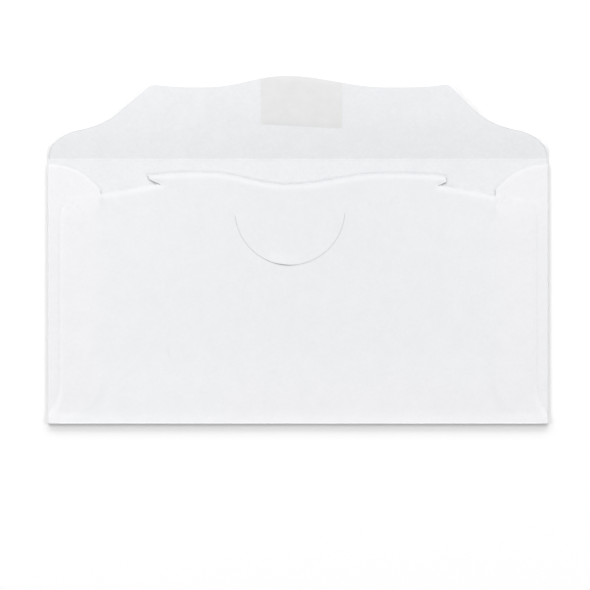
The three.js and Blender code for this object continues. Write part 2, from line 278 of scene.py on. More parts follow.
def crossed(ring, axis, level):
    """The closed ring with a point added wherever it crosses a level of one axis."""
    finer = []
    for start, end in zip(ring, np.roll(ring, -1, axis=0)):
        finer.append(start)
        low, high = sorted((start[axis], end[axis]))
        if low < level - TOUCH and high > level + TOUCH:
            point = start + (end - start) * (level - start[axis]) / (end[axis] - start[axis])
            point[axis] = level
            finer.append(point)
    return np.array(finer)


def inside_distance(x, y, ring):
    """Distance of points from a closed ring, positive inside it."""
    nearest = np.full(len(x), np.inf)
    inside = np.zeros(len(x), bool)
    for (x0, y0), (x1, y1) in zip(ring, np.roll(ring, -1, axis=0)):
        run, rise = x1 - x0, y1 - y0
        squared = max(run * run + rise * rise, TOUCH ** 2)
        part = np.clip(((x - x0) * run + (y - y0) * rise) / squared, 0, 1)
        nearest = np.minimum(nearest, (x - x0 - part * run) ** 2 + (y - y0 - part * rise) ** 2)
        if rise:
            inside ^= ((y0 > y) != (y1 > y)) & (x < x0 + run * (y - y0) / rise)
    return np.where(inside, 1, -1) * np.sqrt(nearest)


class Waves:
    """Gentle seeded waves over the sheet, between 0 and 1."""

    def __init__(self, count, shortest, longest):
        length = rng.uniform(shortest, longest, count)
        heading = rng.uniform(0, math.pi, count)
        self.across = 2 * math.pi / length * np.cos(heading)
        self.upward = 2 * math.pi / length * np.sin(heading)
        self.phase = rng.uniform(0, 2 * math.pi, count)

    def __call__(self, x, y):
        angles = np.outer(x, self.across) + np.outer(y, self.upward) + self.phase
        return 0.5 + 0.5 * np.sin(angles).mean(axis=1)


# Folded sections, measured along the middle of the paper from the centre of the front panel

def folded_section(stretches, distance, height):
    """Takes distances along the blank and heights in the sheet round straight and round stretches."""
    along = np.zeros(len(distance))
    up = np.full(len(distance), PAPER / 2)
    angle = np.zeros(len(distance))
    left = np.array(distance, float)
    for length, turn in stretches:
        step = np.minimum(left, length)
        if turn:
            radius = length / turn
            turned = angle + step / radius
            along += radius * (np.sin(turned) - np.sin(angle))
            up += radius * (np.cos(angle) - np.cos(turned))
            angle = turned
        else:
            along += step * np.cos(angle)
            up += step * np.sin(angle)
        left -= step
    offset = height - PAPER / 2
    return along - offset * np.sin(angle), up + offset * np.cos(angle)


class Hairpin:
    """A fold that touches the finished edge, and from its end on runs back over the sheet."""

    def __init__(self, edge, radius):
        self.start = edge - radius - PAPER
        self.bend = math.pi * (radius + PAPER / 2)
        self.end = self.start + self.bend
        self.stretches = [(self.start, 0), (self.bend, math.pi), (math.inf, 0)]

    def levels(self):
        """Distances along the blank where the fold bends, with two more before and after it."""
        bend = np.linspace(self.start, self.end, FOLD_STEPS + 1)
        return np.concatenate((self.start - FOLD_MARGINS[::-1], bend, self.end + FOLD_MARGINS))

    def place(self, distance, height):
        return folded_section(self.stretches, distance, height)

    def reach(self, seen):
        """Distance along the blank of a point that is seen this far out on the folded envelope."""
        return 2 * self.start + self.bend - seen


side_fold = Hairpin(END, SIDE_FOLD_RADIUS)
foot_fold = Hairpin(-FOOT, SIDE_FOLD_RADIUS + (PAPER + SEAM_GAP) / 2)
CREASE_BEND = CREASE_ANGLE * (CREASE_RADIUS + PAPER / 2)
FLAP_STRETCHES = [
    (CREASE, 0), (CREASE_BEND, CREASE_ANGLE), (FLAP_PEAK, -CREASE_ANGLE), (math.inf, 0),
]


# Outlines, drawn as they are seen on the folded envelope. A side is -1 at the left and 1 at the right.

flap_end = side_fold.start - FLAP_END_GAP
back_foot_end = side_fold.start - BACK_FOOT_GAP
side_flap_top = CREASE - SIDE_FLAP_DROP
side_flap_foot = -(foot_fold.start - SIDE_FLAP_FOOT_GAP)


def flap_corner(side):
    return side * (END - FLAP_CORNER_INSETS[side])


def wave_height(x):
    """Height of the flap's wavy edge over the crease."""
    side = -1 if x < 0 else 1
    from_bump = x - BUMP_OFFSET
    phase = min(1, abs(from_bump) / BUMP_REACHES[-1 if from_bump < 0 else 1])
    bump = BUMP_HEIGHT * (1 + math.cos(math.pi * phase)) / 2
    near_corner = max(0, 1 - abs(flap_corner(side) - x) / FLAP_CORNER_REACH)
    return FLAP_LOW_HEIGHT + bump + FLAP_CORNER_LIFT * near_corner ** 2


def throat_level(x):
    return CREASE - (wave_height(x) - THROAT_NEST) - THROAT_SKEW * x


def flap_side(side):
    """One side of the flap, from the crease up round its shoulder and neck to its corner."""
    def inward(run):
        return side * (flap_end - run)
    corner = flap_corner(side)
    round_end = corner - side * FLAP_CORNER_ROUND
    top = CREASE + wave_height(round_end)
    crease_end = (side * flap_end, CREASE)
    shoulder = (inward(SHOULDER_RUN), CREASE + SHOULDER_HEIGHT)
    hollow = (
        inward((2 * NECK_RUN + SHOULDER_RUN) / 3),
        CREASE + (3 * SHOULDER_HEIGHT + NECK_HEIGHT) / 4,
    )
    neck = np.array((inward(NECK_RUN), CREASE + NECK_HEIGHT))
    up_the_neck = neck - (corner, top)
    round_start = (corner, top) + up_the_neck * FLAP_CORNER_ROUND / math.hypot(*up_the_neck)
    return [
        crease_end,
        *bezier([
            crease_end, (side * flap_end, CREASE + SHOULDER_HEIGHT / 2),
            (inward(SHOULDER_RUN / 3), CREASE + SHOULDER_HEIGHT - SHOULDER_RUN / 5), shoulder,
        ]),
        *bezier([shoulder, hollow, tuple(neck)]),
        tuple(round_start),
        *bezier([tuple(round_start), (corner, top), (round_end, top)]),
    ]


def flap_outline():
    right = flap_side(1)
    left = flap_side(-1)[::-1]
    places = spread(right[-1][0], left[0][0], EDGE_STEP)[1:-1]
    return right + [(x, CREASE + wave_height(x)) for x in places] + left


def side_flap_outline(side):
    """A side flap, from the crease end of its fold round its inner edge to the foot end."""
    inner = side * SEAM_EDGE
    return [
        (side * END, side_flap_top),
        *bezier([
            (side * END, side_flap_top), (side * (END - SIDE_FLAP_SHOULDER_RUN), side_flap_top),
            (inner, side_flap_top - SIDE_FLAP_SHOULDER),
        ]),
        (inner, side_flap_foot + SIDE_FLAP_FOOT_CURVE),
        *bezier([
            (inner, side_flap_foot + SIDE_FLAP_FOOT_CURVE),
            (inner, side_flap_foot + SIDE_FLAP_FOOT_CURVE / 2),
            (inner + side * SIDE_FLAP_WIDTH / 2, side_flap_foot), (side * END, side_flap_foot),
        ]),
    ]


def back_end(side):
    """One end of the back panel, from the foot up round its corner and slit to the throat's wave."""
    end = side * (END - BACK_END_INSET)
    corner = end - side * BACK_CORNER_RUN
    corner_level = CREASE - THROAT_CORNER_DEPTH - THROAT_SKEW * corner
    tab = side * (END - TAB_INSETS[side])
    tab_top = throat_level(tab)
    lip = tab - side * TAB_LEANS[side]
    lip_level = tab_top - TAB_ENDS[side]
    slit = lip - side * SLIT_RUNS[side]
    slit_top = lip_level - SLIT_RUNS[side] * SLIT_SLOPE
    slit_foot = slit_top - SLIT_WIDTH
    shelf = CREASE - THROAT_SHELF_DEPTH - THROAT_SKEW * tab
    shelf_run = max(SLIT_WIDTH, shelf - slit_foot) / SLIT_SLOPE
    straight = FOOT + BACK_FOOT_STRAIGHT
    return [
        (side * back_foot_end, straight),
        *bezier([
            (side * back_foot_end, straight), (end, straight + BACK_FOOT_TAPER / 2),
            (end, straight + BACK_FOOT_TAPER),
        ]),
        *bezier([
            (end, corner_level - BACK_CORNER_DROP), (end, corner_level), (corner, corner_level),
        ]),
        (slit + side * shelf_run, slit_foot + shelf_run * SLIT_SLOPE),
        (slit, slit_foot),
        (slit, slit_top),
        (lip, lip_level),
        (tab, tab_top),
    ]


def back_outline():
    left = back_end(-1)
    right = back_end(1)[::-1]
    places = spread(left[-1][0], right[0][0], EDGE_STEP)[1:-1]
    return left + [(x, throat_level(x)) for x in places] + right


def moon_width(angle):
    """Width of the half-moon cut at an angle in degrees, clockwise from the right."""
    return MOON_WIDTH + MOON_GAPE * bell(angle - MOON_GAPE_ANGLE, MOON_GAPE_SPREAD)


def moon_point(angle, outward):
    """A point this far outward from the middle of the half-moon cut."""
    radius = MOON_RADIUS + outward
    turn = np.radians(angle)
    return MOON_OFFSET + radius * np.cos(turn), CREASE - MOON_DEPTH - radius * np.sin(turn)


def moon_outline():
    angles = spread(*MOON_ENDS, math.degrees(EDGE_STEP / MOON_RADIUS))
    outer = [moon_point(angle, moon_width(angle) / 2) for angle in angles]
    inner = [moon_point(angle, -moon_width(angle) / 2) for angle in angles]
    return outer + inner[::-1]


def unfold_side(points):
    """Points of a folded side flap, back on the blank."""
    return [(math.copysign(side_fold.reach(abs(x)), x), y) for x, y in points]


def unfold_back(points):
    """Points of the folded back panel, back on the blank."""
    return [(x, -foot_fold.reach(-y)) for x, y in points]


def blank_outline():
    """The whole blank, anticlockwise from the right end of the crease."""
    start = side_fold.start
    left, right = (unfold_side(side_flap_outline(side)) for side in (-1, 1))
    return np.array([
        *flap_outline(),
        (-start, side_flap_top), *left, (-start, side_flap_foot),
        (-back_foot_end, -foot_fold.start), *unfold_back(back_outline()),
        (back_foot_end, -foot_fold.start),
        (start, side_flap_foot), *right[::-1], (start, side_flap_top),
    ])


# Folding, and the relief of the paper as it lies

rest_waves = Waves(count=7, shortest=25, longest=70)
back_waves = Waves(count=9, shortest=16, longest=50)
flap_waves = Waves(count=9, shortest=14, longest=45)
crease_waves = Waves(count=4, shortest=2, longest=12)
SIDE_RINGS = {side: np.array(side_flap_outline(side)) for side in (-1, 1)}
BACK_RING = np.array(back_outline() + [(END, FOOT), (-END, FOOT)])


def out_and_back(line):
    """A line as a ring that returns along itself."""
    return np.array(line + line[-2:0:-1])


# What shows of the edges that lie on the front panel
THROAT_FOOT = CREASE - THROAT_CORNER_DEPTH - THROAT_LINE_MARGIN
THROAT_LINE = out_and_back([(x, y) for x, y in back_outline() if y > THROAT_FOOT])
ARC_LINES = [out_and_back(side_flap_outline(side)[:CURVE_STEPS + 1]) for side in (-1, 1)]


def moon_polar(x, y):
    """Distance of folded points outward from the half-moon cut, and their angle round it."""
    across, down = x - MOON_OFFSET, CREASE - MOON_DEPTH - y
    return np.hypot(across, down) - MOON_RADIUS, np.degrees(np.arctan2(down, across))


def over_side_flaps(x, y):
    """Distance of folded points inside the nearer side flap, negative beside both."""
    return np.maximum(*(inside_distance(x, y, SIDE_RINGS[side]) for side in (-1, 1)))


def kink_line(x, y, heading, length):
    """Points along one kink, as it is seen on the folded envelope."""
    turn = math.radians(heading)
    places = spread(-length / 2, length / 2, KINK_STEP)
    return [(x + along * math.cos(turn), y + along * math.sin(turn)) for along in places]


def kinks(x, y):
    """Short fine ridges in the paper."""
    raised = np.zeros(len(x))
    for kink_x, kink_y, heading, length, height in KINKS:
        turn = math.radians(heading)
        along = (x - kink_x) * math.cos(turn) + (y - kink_y) * math.sin(turn)
        across = (y - kink_y) * math.cos(turn) - (x - kink_x) * math.sin(turn)
        raised += height * bell(along, length / 2) * bell(across, KINK_WIDTH)
    return raised


def tongue_relief(x, y):
    """Height of the half-moon's tongue over the panel that it is cut from."""
    outward, angle = moon_polar(x, y)
    (low, high), (before, after) = MOON_ENDS, MOON_END_FADE
    along_cut = smooth(angle, low - before, low + after) * smooth(angle, high + before, high - after)
    at_gape = bell(angle - TONGUE_GAPE_ANGLE, TONGUE_GAPE_SPREAD)
    lift = TONGUE_LIFT * along_cut * smooth(outward, -TONGUE_LIFT_REACH, 0)
    lift += TONGUE_GAPE_LIFT * at_gape * smooth(outward, -TONGUE_GAPE_REACH, 0)
    return lift * (outward < 0)


def back_relief(x, y):
    """Height of the back panel over its flat place."""
    over_flap = over_side_flaps(x, y)
    across = np.clip(1 - (x / SEAM_EDGE) ** 2, 0, None)
    upward = np.clip((y - FOOT) / HEIGHT, 0, 1)
    from_foot = smooth(y, FOOT, FOOT + FOOT_RISE)
    near_end = smooth(END - np.abs(x), *END_DROP_RUNS)
    off_flap = smooth(over_flap, CURL_FADE, -CURL_FADE)
    relief = BACK_DOME * across ** 2 * upward ** 2
    relief -= (GLUE_DROP + END_DROP * near_end) * from_foot
    relief -= SETTLE_DROP * smooth(over_flap, 0, -SETTLE_REACH) * smooth(y, FOOT, FOOT + SETTLE_RISE)
    for tab_x, tab_depth in TAB_PLACES:
        relief -= TAB_PRESS * bell(np.hypot(x - tab_x, CREASE - tab_depth - y), TAB_PRESS_REACH)
    relief += BACK_WAVE * back_waves(x, y) * from_foot * smooth(over_flap, 0, -BACK_WAVE_REACH)
    curl = smooth(inside_distance(x, y, BACK_RING), CURL_REACH, 0) * off_flap
    relief -= CURL_DROP * curl * from_foot
    return relief + tongue_relief(x, y) + kinks(x, y)


def throat_lift(x, y, in_panel, over_flap):
    """Height of the front panel just above the throat's edge."""
    clear = smooth(over_flap, 0, -THROAT_LIFT_FADE)
    for slit_x, slit_depth in SLIT_PLACES:
        from_slit = np.hypot(x - slit_x, CREASE - slit_depth - y)
        clear = clear * (1 - SLIT_REST * bell(from_slit, SLIT_REST_REACH))
    clear = clear * (1 - THROAT_TAIL_DIP * smooth(np.abs(x), *THROAT_TAIL_PLACES))
    return THROAT_LIFT * smooth(-in_panel, 0, THROAT_LIFT_REACH) * clear


def feather(x, y, in_panel, over_flap):
    """How far the outer face of the back panel is pressed down at its edge."""
    below_corner = smooth(CREASE - y, *FEATHER_CORNER_DEPTHS)
    near_end = smooth(END - np.abs(x), *FEATHER_END_RUNS) * below_corner
    pressed_thin = smooth(in_panel, FEATHER_REACH, 0) * smooth(over_flap, *FEATHER_FLAP_RUNS)
    from_foot = smooth(y - FOOT, *FEATHER_FOOT_HEIGHTS)
    return FEATHER * (FEATHER_LEAST + (1 - FEATHER_LEAST) * near_end) * pressed_thin * from_foot


def pressed(inset):
    """Distances from a finished edge once its fold is pressed sharp."""
    return inset * (FOLD_PRESS + (1 - FOLD_PRESS) * smooth(inset, 0, FOLD_PRESS_REACH))


def fold(points, height):
    """Takes points of the flat sheet, at a height in it, to their places on the folded envelope."""
    flat_x, flat_y = points.T
    in_side = np.abs(flat_x) > side_fold.start
    in_back = ~in_side & (flat_y < -foot_fold.end)
    side_along, side_up = side_fold.place(np.abs(flat_x), height)
    foot_along, foot_up = foot_fold.place(np.maximum(-flat_y, 0), height)
    flap_along, flap_up = folded_section(FLAP_STRETCHES, np.maximum(flat_y, 0), height)
    x = np.where(in_side, np.sign(flat_x) * side_along, flat_x)
    y = np.where(in_side, flat_y, np.where(flat_y > 0, flap_along, -foot_along))
    z = np.where(in_side, side_up, np.where(flat_y > 0, flap_up, foot_up))
    over_itself = in_side & (side_up > PAPER * 1.5)
    in_panel = inside_distance(x, y, BACK_RING)
    over_flap = over_side_flaps(x, y)
    over_crease = y - CREASE
    settled = np.where(in_back, smooth(y, FOOT, FOOT + FOOT_RISE), over_itself)
    z += REST_WAVE * rest_waves(x, y)
    z[in_back] += back_relief(x[in_back], y[in_back])
    z += throat_lift(x, y, in_panel, over_flap) * ~in_back
    z -= SIDE_FLAP_SETTLE * smooth(END - np.abs(x), *SIDE_FLAP_SETTLE_RUNS) * settled
    z -= feather(x, y, in_panel, over_flap) * (1 - height / PAPER) * in_back
    z += ARC_LIFT * smooth(-over_flap, 0, ARC_LIFT_REACH) * ~(in_back | in_side)
    z -= SIDE_FLAP_CURL * smooth(over_flap, SIDE_FLAP_CURL_REACH, 0) * over_itself
    z += CREASE_RIDGE * bell(over_crease, CREASE_RIDGE_WIDTH) * ~in_back
    z += FLAP_WAVE * flap_waves(x, y) * smooth(over_crease, 0, FLAP_WAVE_RISE)
    x = np.sign(x) * (END - pressed(END - np.abs(x)))
    return np.column_stack((x, FOOT + pressed(y - FOOT), z))


# Meshing

def grid(x_range, y_range, step):
    """Points of a triangular grid, nudged off their rows."""
    xs, ys = np.arange(*x_range, step), np.arange(*y_range, step * math.sqrt(3) / 2)
    x, y = np.meshgrid(xs, ys)
    x[::2] += step / 2
    points = np.column_stack((x.ravel(), y.ravel()))
    return points + rng.uniform(-NUDGE, NUDGE, points.shape) * step


def distances(points, rings):
    """Distance of points from the nearest side of any ring, positive inside the first."""
    nearest = [np.abs(inside_distance(*points.T, ring)) for ring in rings[1:]]
    first = inside_distance(*points.T, rings[0])
    return np.minimum.reduce([np.abs(first), *nearest]) * np.sign(first)


def fold_strip(axis, levels, others):
    """Rows of points along the bend lines of a fold, one behind the other."""
    level, other = (part.ravel() for part in np.meshgrid(levels, others))
    return np.column_stack((level, other) if axis == 0 else (other, level))


def near_cells(points, rings, reach):
    """Whether each point is in a cell of the plane that is within reach of a ring's points."""
    cell = np.floor(np.vstack(rings) / reach).astype(int)
    around = [cell + (across, up) for across in (-1, 0, 1) for up in (-1, 0, 1)]
    marked = np.unique(np.vstack(around) @ (1, CELL_ROW))
    return np.isin(np.floor(points / reach).astype(int) @ (1, CELL_ROW), marked)


def fill(rings, bends):
    """Points inside the first ring, close together near every ring and bend."""
    low, high = rings[0].min(axis=0), rings[0].max(axis=0)
    chosen = []
    levels = [
        (FINE_STEP, RING_ROOM * FINE_STEP, FINE_REACH),
        (MIDDLE_STEP, FINE_REACH, MIDDLE_REACH),
        (OPEN_STEP, MIDDLE_REACH, math.inf),
    ]
    for step, nearest, furthest in levels:
        points = grid((low[0], high[0]), (low[1], high[1]), step)
        if furthest < math.inf:
            points = points[near_cells(points, rings, furthest)]
        distance = distances(points, rings)
        for axis, start, end in bends:
            clear = np.maximum(start - points[:, axis], points[:, axis] - end)
            distance = np.where(clear < step * BEND_ROOM, -1, distance)
        chosen.append(points[(distance > nearest) & (distance <= furthest)])
    return np.vstack(chosen)


def triangulate(rings, points, is_hole):
    """Triangles between the rings and points, without those whose middle is in a hole."""
    corners, edges = [], []
    for ring in rings:
        first = len(corners)
        corners.extend(ring)
        edges.extend((first + i, first + (i + 1) % len(ring)) for i in range(len(ring)))
    corners.extend(points)
    corners = [Vector(corner) for corner in corners]
    made = delaunay_2d_cdt(corners, edges, [], 1, JOIN_DISTANCE, False)
    flat = np.array([tuple(corner) for corner in made[0]])
    faces = np.array(made[2])
    a, b, c = (flat[faces[:, i]] for i in range(3))
    turn = (b - a)[:, 0] * (c - a)[:, 1] - (b - a)[:, 1] * (c - a)[:, 0]
    faces[turn < 0] = faces[turn < 0][:, ::-1]
    middle = (a + b + c) / 3
    is_inside = inside_distance(*middle.T, rings[0]) > 0
    return flat, faces[(np.abs(turn) > SLIVER) & is_inside & ~is_hole(middle)]


def thick_piece(name, flat, faces, under, over, place, cut_slot=0):
    """A closed mesh of the sheet's two faces and the cut edge round them, put in its place."""
    count = len(flat)
    points = np.vstack((place(flat, under), place(flat, over)))
    starts = faces.ravel()
    ends = np.roll(faces, -1, axis=1).ravel()
    is_edge = ~np.isin(starts * count + ends, ends * count + starts)
    starts, ends = starts[is_edge], ends[is_edge]
    walls = np.column_stack((starts, ends, ends + count, starts + count))
    mesh = bpy.data.meshes.new(name)
    mesh.from_pydata(
        (points * MM).tolist(), [],
        [*(faces + count).tolist(), *faces[:, ::-1].tolist(), *walls.tolist()],
    )
    mesh.polygons.foreach_set("material_index", [0] * 2 * len(faces) + [cut_slot] * len(walls))
    mesh.shade_smooth()
    mesh.set_sharp_from_angle(angle=SHARP_ANGLE)
    piece = bpy.data.objects.new(name, mesh)
    bpy.context.collection.objects.link(piece)
    return piece


def paint(piece, name, values):
    """Keeps a number at each point of a piece, which a finish can read by its name."""
    attribute = piece.data.attributes.new(name, "FLOAT", "POINT")
    attribute.data.foreach_set("value", np.asarray(values, np.float32))


def strip_places(low, high, gaps):
    """Places along a fold where its rows of points stand."""
    return np.arange(low + gaps[0], high - gaps[1], STRIP_STEP)


def in_moon(middle):
    """Whether points of the flat sheet are in the half-moon cut."""
    outward, angle = moon_polar(middle[:, 0], -foot_fold.reach(-middle[:, 1]))
    is_across = np.abs(outward) < moon_width(angle) / 2 + MOON_MARGIN
    is_along = (angle > MOON_ENDS[0]) & (angle < MOON_ENDS[1])
    return (middle[:, 1] < -foot_fold.end) & is_across & is_along


def make_sheet():
    ring = resample(blank_outline(), EDGE_STEP)
    side_levels, foot_levels = side_fold.levels(), -foot_fold.levels()
    for level in side_levels:
        ring = crossed(crossed(ring, 0, level), 0, -level)
    for level in foot_levels:
        ring = crossed(ring, 1, level)
    moon = np.array(unfold_back(moon_outline()))
    rows = strip_places(side_flap_foot, side_flap_top, SHORT_STRIP_GAPS)
    columns = strip_places(-back_foot_end, back_foot_end, LONG_STRIP_GAPS)
    crease_columns = strip_places(-flap_end, flap_end, LONG_STRIP_GAPS)
    crease_levels = CREASE + np.linspace(-CREASE_STRIP_REACH, CREASE_STRIP_REACH, CREASE_STRIP_ROWS)
    bends = [
        (0, side_levels[0], side_levels[-1]), (0, -side_levels[-1], -side_levels[0]),
        (1, foot_levels[-1], foot_levels[0]), (1, crease_levels[0], crease_levels[-1]),
    ]
    strips = [
        fold_strip(0, side_levels, rows), fold_strip(0, -side_levels, rows),
        fold_strip(1, foot_levels, columns), fold_strip(1, crease_levels, crease_columns),
    ]
    seams = [np.array(unfold_back(SIDE_RINGS[side])) for side in (-1, 1)]
    kink_lines = [out_and_back(unfold_back(kink_line(*kink[:4]))) for kink in KINKS]
    inner = fill([ring, moon, *seams, THROAT_LINE, *ARC_LINES, *kink_lines], bends)
    in_front = (np.abs(inner[:, 0]) < side_fold.start) & (inner[:, 1] > -foot_fold.start)
    hidden_top = CREASE - THROAT_CORNER_DEPTH - HIDDEN_MARGIN
    is_hidden = in_front & (inner[:, 1] < hidden_top)
    hidden_end = side_fold.start - HIDDEN_FOLD_GAP
    hidden_foot = -foot_fold.start + HIDDEN_FOLD_GAP
    coarse = grid((-hidden_end, hidden_end), (hidden_foot, hidden_top), HIDDEN_STEP)
    points = np.vstack([inner[~is_hidden], coarse, *strips])
    points = points[inside_distance(*points.T, ring) > EDGE_ROOM]
    flat, faces = triangulate([ring, moon], points, in_moon)
    return thick_piece("folded_paper_sheet", flat, faces, 0, PAPER, fold, cut_slot=1)


def make_gum():
    """The film of gum, which thins out towards its rim."""
    left, right = GUM_LOW[0], GUM_HIGH[0]
    places = spread(right, left, EDGE_STEP)
    edge = [(x, CREASE + wave_height(x) - GUM_EDGE_GAP) for x in places]
    foot = [(left, CREASE + GUM_FOOTS[0]), (right, CREASE + GUM_FOOTS[1])]
    ring = resample(np.array(foot + edge), EDGE_STEP)
    flat, faces = triangulate([ring], fill([ring], []), lambda middle: np.zeros(len(middle), bool))

    def place(points, part):
        thickness = GUM_RIM + (1 - GUM_RIM) * smooth(inside_distance(*points.T, ring), *GUM_RIM_RUNS)
        return fold(points, PAPER + GUM_CLEARANCE + GUM_RELIEF * part * thickness)

    return thick_piece("gum_film", flat, faces, 0, 1, place)


# Finishes

class Value:
    """A node's output that takes part in Python arithmetic. Each sum adds its Math node."""

    def __init__(self, finish, socket):
        self.finish, self.socket = finish, socket

    def math(self, operation, *values):
        return self.finish.node("ShaderNodeMath", {"operation": operation}, dict(enumerate(values)))

    def __add__(self, other):
        return self.math("ADD", self, other)

    def __sub__(self, other):
        return self.math("SUBTRACT", self, other)

    def __rsub__(self, other):
        return self.math("SUBTRACT", other, self)

    def __mul__(self, other):
        return self.math("MULTIPLY", self, other)

    __radd__ = __add__
    __rmul__ = __mul__


class Finish:
    """A material's nodes round one Principled shader."""

    def __init__(self, name, **constants):
        self.material = bpy.data.materials.new(name)
        self.material.use_nodes = True
        self.tree = self.material.node_tree
        self.shader = self.tree.nodes["Principled BSDF"]
        for socket, value in constants.items():
            self.shader.inputs[socket.replace("_", " ")].default_value = value

    def node(self, kind, settings, inputs, output=0):
        made = self.tree.nodes.new(kind)
        for name, value in settings.items():
            setattr(made, name, value)
        for name, value in inputs.items():
            self.feed(made.inputs[name], value)
        return Value(self, made.outputs[output])

    def feed(self, socket, value):
        if isinstance(value, Value):
            self.tree.links.new(value.socket, socket)
        else:
            socket.default_value = value

    def shade(self, **values):
        for socket, value in values.items():
            self.feed(self.shader.inputs[socket.replace("_", " ")], value)

    def place(self):
        return self.node("ShaderNodeTexCoord", {}, {}, "Object")

    def painted(self, name):
        """The number that a piece keeps at each point by this name."""
        return self.node("ShaderNodeAttribute", {"attribute_name": name}, {}, "Fac")

    def noise(self, place, scale, detail, roughness):
        return self.node("ShaderNodeTexNoise", {}, {
            "Vector": place, "Scale": scale, "Detail": detail, "Roughness": roughness,
        })

    def mix(self, factor, first, second):
        inputs = {0: factor, 6: first, 7: second}
        return self.node("ShaderNodeMix", {"data_type": "RGBA"}, inputs, 2)

    def bump(self, height, distance, strength):
        return self.node("ShaderNodeBump", {}, {
            "Height": height, "Distance": distance, "Strength": strength,
        })


PAPER_LIGHT = (0.953, 0.960, 0.975, 1)
PAPER_SHADE = (0.833, 0.844, 0.863, 1)
PAPER_WARM_LIGHT = (0.960, 0.957, 0.971, 1)
PAPER_WARM_SHADE = (0.840, 0.841, 0.858, 1)
# Dark grey of the painted shade at the folds and edges
PAINTED_EDGE_SHADE = (0.3, 0.305, 0.315, 1)
# Dark greys of the cut edge, painted as shade
CUT_EDGE_SHADE = (0.3, 0.303, 0.31, 1)
CUT_EDGE_LIGHT = (0.42, 0.424, 0.432, 1)
GUM_SHADE = (0.793, 0.799, 0.792, 1)
GUM_LIGHT = (0.837, 0.838, 0.839, 1)


def paper_finish():
    finish = Finish("white_wove_paper", IOR=1.45, Specular_IOR_Level=0.3)
    place = finish.place()
    clouds = finish.noise(place, 160.0, 4.0, 0.6)
    specks = finish.noise(place, 900.0, 3.0, 0.6)
    fibres = finish.noise(place, 2600.0, 4.0, 0.65)
    formation = clouds * 0.34 + specks * 0.4 + fibres * 0.26
    warm_patches = finish.noise(place, 40.0, 2.0, 0.5)
    tint = finish.painted("warmth") + (warm_patches - 0.5) * 0.8
    shade = finish.mix(tint, PAPER_SHADE, PAPER_WARM_SHADE)
    light = finish.mix(tint, PAPER_LIGHT, PAPER_WARM_LIGHT)
    lightness = (formation - 0.5) * finish.painted("mottle") + finish.painted("tone")
    paper = finish.mix(lightness, shade, light)
    # Painted shade at the edges darkens the paper towards a dark grey.
    finish.shade(
        Base_Color=finish.mix(finish.painted("edge_shade"), paper, PAINTED_EDGE_SHADE),
        Roughness=0.78 + formation * 0.1,
        Normal=finish.bump(fibres * 0.6 + specks, 0.012 * MM, 0.5),
    )
    return finish.material


def cut_edge_finish():
    """The cut edge is painted dark grey as shade, mottled by its fibres."""
    finish = Finish("paper_cut_edge", Roughness=0.95, IOR=1.45, Specular_IOR_Level=0.1)
    fibres = finish.noise(finish.place(), 2600.0, 4.0, 0.65)
    finish.shade(
        Base_Color=finish.mix(fibres, CUT_EDGE_SHADE, CUT_EDGE_LIGHT),
        Normal=finish.bump(fibres, 0.02 * MM, 0.6),
    )
    return finish.material


def gum_finish():
    finish = Finish("dried_gum", IOR=1.45)
    place = finish.place()
    ripples = finish.noise(place, 420.0, 3.0, 0.5)
    patches = finish.noise(place, 260.0, 4.0, 0.65)
    finish.shade(
        Base_Color=finish.mix(patches * 2.2 - 0.6, GUM_SHADE, GUM_LIGHT),
        Roughness=0.36 + patches * 0.2,
        Normal=finish.bump(ripples, 0.02 * MM, 0.4),
    )
    return finish.material


def finish_piece(piece, materials, node):
    for material in materials:
        piece.data.materials.append(material)
    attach(piece, "root")
    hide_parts(node)


# Tone of the paper, which mixes its shade (0) with its light (1). It is lighter where more layers lie
# under it. Painted light makes it lighter to the left, painted highlights run along the crease and at the
# foot, and painted shade darkens it inside the mouth, on the middle of the flap and along the kinks.
SHEET_TONE = 0.215
PAINTED_LIGHT_FALL = 0.075
LAYER_TONE = 0.125
LAYER_TOP_TONE = 0.125
LAYER_TOP_DEPTHS = (22, 16)
LAYER_BLUR = 0.3
FLAP_TONE = 0.05
FLAP_PAINTED_SHADE = 0.175
FLAP_PAINTED_SHADE_PLACE = 15
FLAP_PAINTED_SHADE_SPREAD = 55
MOUTH_PAINTED_SHADE = 0.06
MOUTH_PAINTED_SHADE_DEPTHS = (18, 10)
CREASE_HIGHLIGHT = 0.15
CREASE_HIGHLIGHT_WAVE = 0.45
CREASE_HIGHLIGHT_WIDTH = 0.2
FOOT_HIGHLIGHT = 0.15
FOOT_HIGHLIGHT_HEIGHTS = (0.8, 0.2)
KINK_SHADE = 40
ZONE_BLUR = 0.5

# How strongly the formation of the paper shows on its two faces
INSIDE_MOTTLE = 1.7
OUTSIDE_MOTTLE = 1.15

# Warmer paper, on the side flaps and low at the right
WARMTH_LEAST = 0.1
WARMTH_GAIN = 0.8
WARM_HEIGHTS = (24, 8)
WARM_PLACES = (-40, -15)

# Painted shade on the rolls of the folds and beside the outer parts of the throat's edge, and a painted
# shadow along the flap's cut edge round its shoulders
ROLL_SHADE = 0.75
ROLL_RUNS = (0.1, 0.02)
SHOULDER_SHADE = 0.25
SHOULDER_LINE = 0.3
SHOULDER_LINE_HEIGHTS = (22, 14)
SHELF_SHADE = 0.09
SHELF_LINE = (0.8, 0.15)
SHELF_PLACES = (49.5, 52)
SHELF_FOOT_DEPTH = 14


